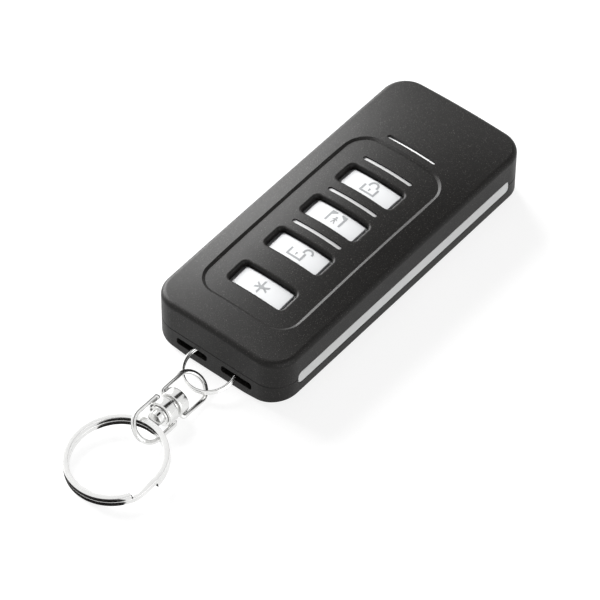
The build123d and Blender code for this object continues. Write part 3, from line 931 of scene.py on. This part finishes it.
    def _corner(self, side: int, half: float, top: float) -> bpy.types.Object:
        """Lays one filled corner over the roof line.

        Args:
            side: -1 on the left, 1 on the right.
            half: Distance of the wall from the middle.
            top: Height of the top.

        Returns:
            The corner.
        """
        outer = half + self.line_mm / 2
        width, height = self.corner_mm
        bpy.ops.mesh.primitive_plane_add(size=1.0, location=(0, 0, 0))
        corner = bpy.context.active_object
        corner.scale = (width * MM, height * MM, 1.0)
        corner.location = Vector((side * (outer - width / 2), top - height / 2, 0)) * MM
        bpy.ops.object.transform_apply(location=True, rotation=True, scale=True)
        Bench.edit()
        inside = Vector((side * (outer - width), top - height, 0)) * MM
        slant = Vector((-side * height, -width, 0)).normalized()
        cut = Vector((side * (outer - self.line_mm), top - height, 0)) * MM
        bpy.ops.mesh.bisect(plane_co=cut, plane_no=slant, clear_outer=(inside - cut).dot(slant) > 0,
                            clear_inner=(inside - cut).dot(slant) <= 0)
        bpy.ops.object.mode_set(mode="OBJECT")
        return corner

    def star(self) -> list:
        """Draws a star of six arms from a small hexagon.

        Returns:
            The one piece.
        """
        width = self.line_mm * self.star_hub_share
        apothem = width * math.cos(math.pi / self.star_arms)
        bpy.ops.mesh.primitive_circle_add(vertices=self.star_arms, radius=width * MM, fill_type="NGON",
                                          location=(0, 0, 0))
        piece = Bench.edit()
        for arm in range(self.star_arms):
            turn = math.radians(arm * FULL_TURN / self.star_arms)
            way = Vector((math.sin(turn), math.cos(turn), 0))
            Bench.pick_edge(piece, way * apothem * MM)
            bpy.ops.mesh.extrude_edges_move(TRANSFORM_OT_translate={"value": way * self.star_arm_mm * MM})
        bpy.ops.object.mode_set(mode="OBJECT")
        return [piece]

    def print_on(self, strokes: list, node: str, shift_x: float, name: str, body: Body) -> None:
        """Joins the strokes, lays them on the button's crown and gives the ink its thickness.

        Args:
            strokes: Flat strokes about the origin.
            node: Button's node.
            shift_x: Place of the sign across the button in millimetres.
            name: Name of the sign.
            body: Body that it rides on.
        """
        Bench.clear()
        for stroke in strokes:
            stroke.select_set(True)
        bpy.context.view_layer.objects.active = strokes[0]
        if len(strokes) > 1:
            bpy.ops.object.join()
        sign = bpy.context.active_object
        low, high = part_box(node)
        centre = Vector((shift_x * MM, (low.y + high.y) / 2, high.z + MM))
        sign.data.transform(Matrix.Translation(centre))
        Bench.edit()
        bpy.ops.mesh.subdivide(number_cuts=self.ink_cuts)
        bpy.ops.object.mode_set(mode="OBJECT")
        lay = sign.modifiers.new("lay_on_crown", "SHRINKWRAP")
        lay.target = bpy.data.objects[node]
        lay.wrap_method = "PROJECT"
        lay.use_project_z = True
        lay.use_negative_direction = True
        lay.use_positive_direction = False
        lay.offset = self.ink_gap_mm * MM
        bpy.ops.object.modifier_apply(modifier=lay.name)
        thick = sign.modifiers.new("ink", "SOLIDIFY")
        thick.thickness = self.ink_mm * MM
        thick.offset = 1.0
        bpy.ops.object.modifier_apply(modifier=thick.name)
        Bench.deliver(sign, name, SIGN, body, "", ())

    def build(self) -> None:
        """Prints the four signs."""
        Bench.clear()
        top = self.padlock_top_mm
        closed = self.padlock(0.0, self.lock_shackle_x_mm, top)
        self.print_on(closed, "button_lock", 0.0, "sign_lock", Body.LOCK)
        self.print_on(self.house(), "button_stay", self.house_x_mm, "sign_stay", Body.STAY)
        opened = self.padlock(self.open_body_x_mm, self.open_shackle_x_mm, top + self.open_leg_mm)
        self.print_on(opened, "button_unlock", 0.0, "sign_unlock", Body.UNLOCK)
        self.print_on(self.star(), "button_star", self.star_x_mm, "sign_star", Body.STAR)


@dataclass
class Camera:
    """Camera at the photograph's place.

    Attributes:
        clip: Nearest and farthest distance that it sees, in metres.
    """

    place_mm: tuple = (301.66, -382.65, 542.10)
    right: tuple = (0.77174178, 0.63591198, 0.00552894)
    up: tuple = (-0.48008949, 0.57689017, 0.66084175)
    back: tuple = (0.4170476, -0.51265357, 0.75050491)
    lens: float = 238.62
    sensor: float = 36.0
    clip: tuple = (0.01, 20.0)

    def add(self) -> None:
        """Adds the camera to the scene."""
        data = bpy.data.cameras.new("photo_camera")
        data.lens = self.lens
        data.sensor_width = self.sensor
        data.clip_start, data.clip_end = self.clip
        camera = bpy.data.objects.new("photo_camera", data)
        turn = Matrix((self.right, self.up, self.back)).transposed().to_4x4()
        camera.matrix_world = Matrix.Translation(Vector(self.place_mm) * MM) @ turn
        bpy.context.scene.collection.objects.link(camera)
        bpy.context.scene.camera = camera


@dataclass
class SoftBox:
    """One square soft light.

    Attributes:
        name: Name of the light.
        place: Place in metres.
        size: Side in metres.
        power: Power in watts.
        on_pale: Whether it lights the metal and the pale strips, the rest, or both where it is None.
        aim: Place that it points at, in metres.
    """

    name: str
    place: tuple
    size: float
    power: float
    on_pale: bool | None = None
    aim: tuple = (0, -0.01, 0.005)

    def add(self, pale: bpy.types.Collection, rest: bpy.types.Collection) -> None:
        """Adds the light, aimed at the object.

        Args:
            pale: Polished metal and the pale strips.
            rest: Everything else that is lit.
        """
        data = bpy.data.lights.new(self.name, "AREA")
        data.shape = "SQUARE"
        data.size = self.size
        data.energy = self.power
        light = bpy.data.objects.new(self.name, data)
        light.location = self.place
        way = Vector(self.aim) - Vector(self.place)
        light.rotation_euler = way.to_track_quat("-Z", "Y").to_euler()
        bpy.context.scene.collection.objects.link(light)
        if self.on_pale is not None:
            light.light_linking.receiver_collection = pale if self.on_pale else rest


@dataclass
class Studio:
    """Floor, white surroundings, soft lights and dark cards that only reflections see, which paint dark bands
    in the metal.

    Attributes:
        sky: Strength of the surroundings as soft light on the object.
        backdrop: Strength of the surroundings that metal reflects.
        floor_glow: Light that the camera sees the floor give off.
        floor_gloss: Light of the floor that metal reflects.
        floor_side: Side of the floor in metres.
        floor_drop_mm: How far the floor lies under the object.
        cards: Sides and middle of each dark card in metres: one overhead, a painted dark reflection; two on
            the table, a painted shade of the floor beside the key ring as the ring reflects it.
        lights: The soft lights.
    """

    sky: float = 0.24
    backdrop: float = 1.0
    floor_glow: float = 0.82
    floor_gloss: float = 0.82
    floor_side: float = 6.0
    floor_drop_mm: float = 0.02
    cards: tuple = (
        ((0.27, 1.0), (0.10, 0.2, 0.5)),
        ((0.020, 0.009), (-0.001, -0.0738, 0.0)),
        ((0.008, 0.005), (-0.0035, -0.0568, 0.0)),
    )
    lights: tuple = (
        SoftBox("key", (-0.56, 0.12, 0.29), 0.50, 12.5, False),
        SoftBox("key_on_metal", (-0.56, 0.12, 0.29), 0.50, 1.0, True),
        SoftBox("fill", (0.60, -0.12, 0.12), 0.60, 1.6),
    )

    @staticmethod
    def by_ray(tree: bpy.types.NodeTree, plain: float, gloss: float, seen: float) -> bpy.types.NodeSocket:
        """Picks a strength by the kind of ray.

        Args:
            tree: Node tree.
            plain: Strength as light on the object.
            gloss: Strength for glossy rays.
            seen: Strength for camera and transmission rays.

        Returns:
            Socket of the strength.
        """
        path = add_node(tree, "LightPath", {}, {})
        eye = add_node(tree, "Math", {"operation": "MAXIMUM"},
                       {0: path.outputs["Is Camera Ray"], 1: path.outputs["Is Transmission Ray"]})
        first = add_node(tree, "Mix", {"data_type": "FLOAT", "A": plain, "B": gloss},
                         {"Factor": path.outputs["Is Glossy Ray"]})
        last = add_node(tree, "Mix", {"data_type": "FLOAT", "B": seen},
                        {"Factor": eye.outputs["Value"], "A": first.outputs["Result"]})
        return last.outputs["Result"]

    def add(self) -> None:
        """Adds everything round the object."""
        scene = bpy.context.scene
        scene.view_settings.view_transform = "Standard"
        world = bpy.data.worlds.new("studio_surroundings")
        scene.world = world
        world.use_nodes = True
        tree = world.node_tree
        background = tree.nodes["Background"]
        background.inputs["Color"].default_value = linear("ffffff")
        tree.links.new(self.by_ray(tree, self.sky, self.backdrop, 1.0), background.inputs["Strength"])
        self.floor()
        for number, (sides, middle) in enumerate(self.cards):
            self.card("black_card_" + str(number + 1), sides, middle)

    def shine(self) -> None:
        """Sorts the finished pieces, and adds the lights.

        The strong key would turn the polished metal and the pale strips plain white, so they have a
        weak one.
        """
        pale = bpy.data.collections.new("metal_and_strips")
        rest = bpy.data.collections.new("all_the_rest")
        for piece in bpy.context.scene.objects:
            if piece.type == "MESH":
                shader = piece.active_material.node_tree.nodes["Principled BSDF"]
                metal = shader.inputs["Metallic"].default_value > 0.5
                group = pale if metal or piece.name.startswith("side_strip") else rest
                group.objects.link(piece)
        for light in self.lights:
            light.add(pale, rest)

    @staticmethod
    def card(name: str, sides: tuple, middle: tuple) -> None:
        """Adds a dark card that only glossy rays see, which paints a dark reflection band in the metal.

        Args:
            name: Name of the card.
            sides: Its sides in metres.
            middle: Its middle in metres.
        """
        Bench.clear()
        bpy.ops.mesh.primitive_plane_add(size=1.0, location=middle)
        card = bpy.context.active_object
        card.name = name
        card.scale = (*sides, 1.0)
        bpy.ops.object.transform_apply(location=True, rotation=True, scale=True)
        # Hidden from all but glossy rays: the card is a painted dark reflection, no real flag
        card.visible_camera = False
        card.visible_diffuse = False
        card.visible_transmission = False
        card.visible_shadow = False
        card.data.materials.append(DARK_REFLECTION_CARD.build())

    def floor(self) -> None:
        """Adds a plain floor that looks white, also in reflections, and keeps the shadow."""
        Bench.clear()
        bpy.ops.mesh.primitive_plane_add(size=self.floor_side, location=(0, 0, 0))
        floor = bpy.context.active_object
        floor.name = "floor"
        floor.data.transform(Matrix.Translation((0, 0, -self.floor_drop_mm * MM)))
        material = bpy.data.materials.new("pale_table_laminate")
        material.use_nodes = True
        tree = material.node_tree
        shader = tree.nodes["Principled BSDF"]
        shader.inputs["Base Color"].default_value = linear("8c8c8c")
        shader.inputs["Roughness"].default_value = 0.8
        shader.inputs["Specular IOR Level"].default_value = 0.2
        shader.inputs["Emission Color"].default_value = linear("ffffff")
        glow = self.by_ray(tree, 0.0, self.floor_gloss, self.floor_glow)
        tree.links.new(glow, shader.inputs["Emission Strength"])
        floor.data.materials.append(material)


def dress_nodes(nodes: dict) -> None:
    """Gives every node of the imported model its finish.

    Args:
        nodes: Objects by node name.
    """
    for name, node in nodes.items():
        matches = [finish for prefix, finish in NODE_FINISHES.items() if name.startswith(prefix)]
        node.data.materials.clear()
        node.data.materials.append(matches[0].build())


def joint_of(frame: dict, name: str) -> tuple:
    """Finds a joint's place and axis.

    Args:
        name: Name of the joint.

    Returns:
        Its place and its axis.
    """
    joint = next(one for one in frame["joints"] if one["name"] == name)
    return Vector(joint["pos_m"]), Vector(joint["axis"]).normalized()


def main() -> None:
    """Builds the scene."""
    logging.basicConfig(level=logging.INFO)
    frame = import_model()
    dress_nodes(frame["nodes"])
    Camera().add()
    studio = Studio()
    studio.add()
    post, _ = joint_of(frame, "ring_tilt")
    middle, axis = joint_of(frame, "swivel_spin")
    FobRing().build(post)
    Swivel().build(middle, axis)
    KeyRing().build(middle)
    Signs().build()
    studio.shine()


if __name__ == "__main__":
    main()
